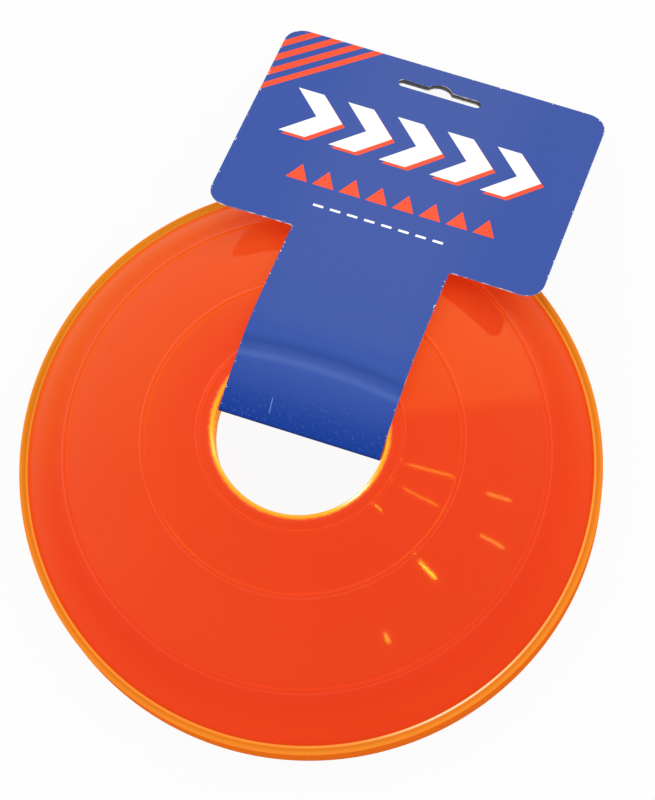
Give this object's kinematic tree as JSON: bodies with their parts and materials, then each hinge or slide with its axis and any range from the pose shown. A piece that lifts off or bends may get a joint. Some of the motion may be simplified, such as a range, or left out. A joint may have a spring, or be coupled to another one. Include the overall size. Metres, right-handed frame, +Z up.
{
  "type": "sports marker cone set",
  "caption": "Nested low saucer-shaped field marker cones with a wide centre hole, held by a printed header card that loops through the hole and has a hang slot.",
  "frame": {"origin": "on the axis of the stack, at the floor that the set stands on", "axes": "+Z up along the axis of the cones, +Y from the axis out along the card to its header"},
  "size_m": [0.2286, 0.2895, 0.0742],
  "materials": {
    "cone_plastic": "moulded translucent fluorescent orange-red polyethylene, glossy",
    "printed_card": "coated board printed blue with orange-red and white, uncoated white back",
    "glue_film": "dried clear hot-melt film"
  },
  "bodies": {
    "cone_bottom": {"cone_bottom": "cone_plastic"},
    "cone_second": {"cone_second": "cone_plastic"},
    "cone_third": {"cone_third": "cone_plastic"},
    "cone_top": {"cone_top": "cone_plastic"},
    "card_loop": {"card_front_strap": "printed_card", "card_front_panel": "printed_card", "card_back_strap": "printed_card"},
    "card_flap": {"card_header": "printed_card", "card_tail": "printed_card", "card_glue": "glue_film"}
  },
  "joints": [
    {"name": "cone_second_turn", "type": "hinge", "parent": "cone_bottom", "child": "cone_second", "pos_m": [0, 0, 0], "axis": [0, 0, 1], "continuous": true},
    {"name": "cone_third_turn", "type": "hinge", "parent": "cone_second", "child": "cone_third", "pos_m": [0, 0, 0], "axis": [0, 0, 1], "continuous": true},
    {"name": "cone_top_turn", "type": "hinge", "parent": "cone_third", "child": "cone_top", "pos_m": [0, 0, 0], "axis": [0, 0, 1], "continuous": true},
    {"name": "card_turn", "type": "hinge", "parent": "cone_bottom", "child": "card_loop", "pos_m": [0, 0, 0], "axis": [0, 0, 1], "continuous": true},
    {"name": "header_flap", "type": "hinge", "parent": "card_loop", "child": "card_flap", "pos_m": [0, 0.15576, 0.01147], "axis": [1, 0, 0], "range_deg": [0, 60], "stiffness_Nm_per_rad": 0.02}
  ]
}
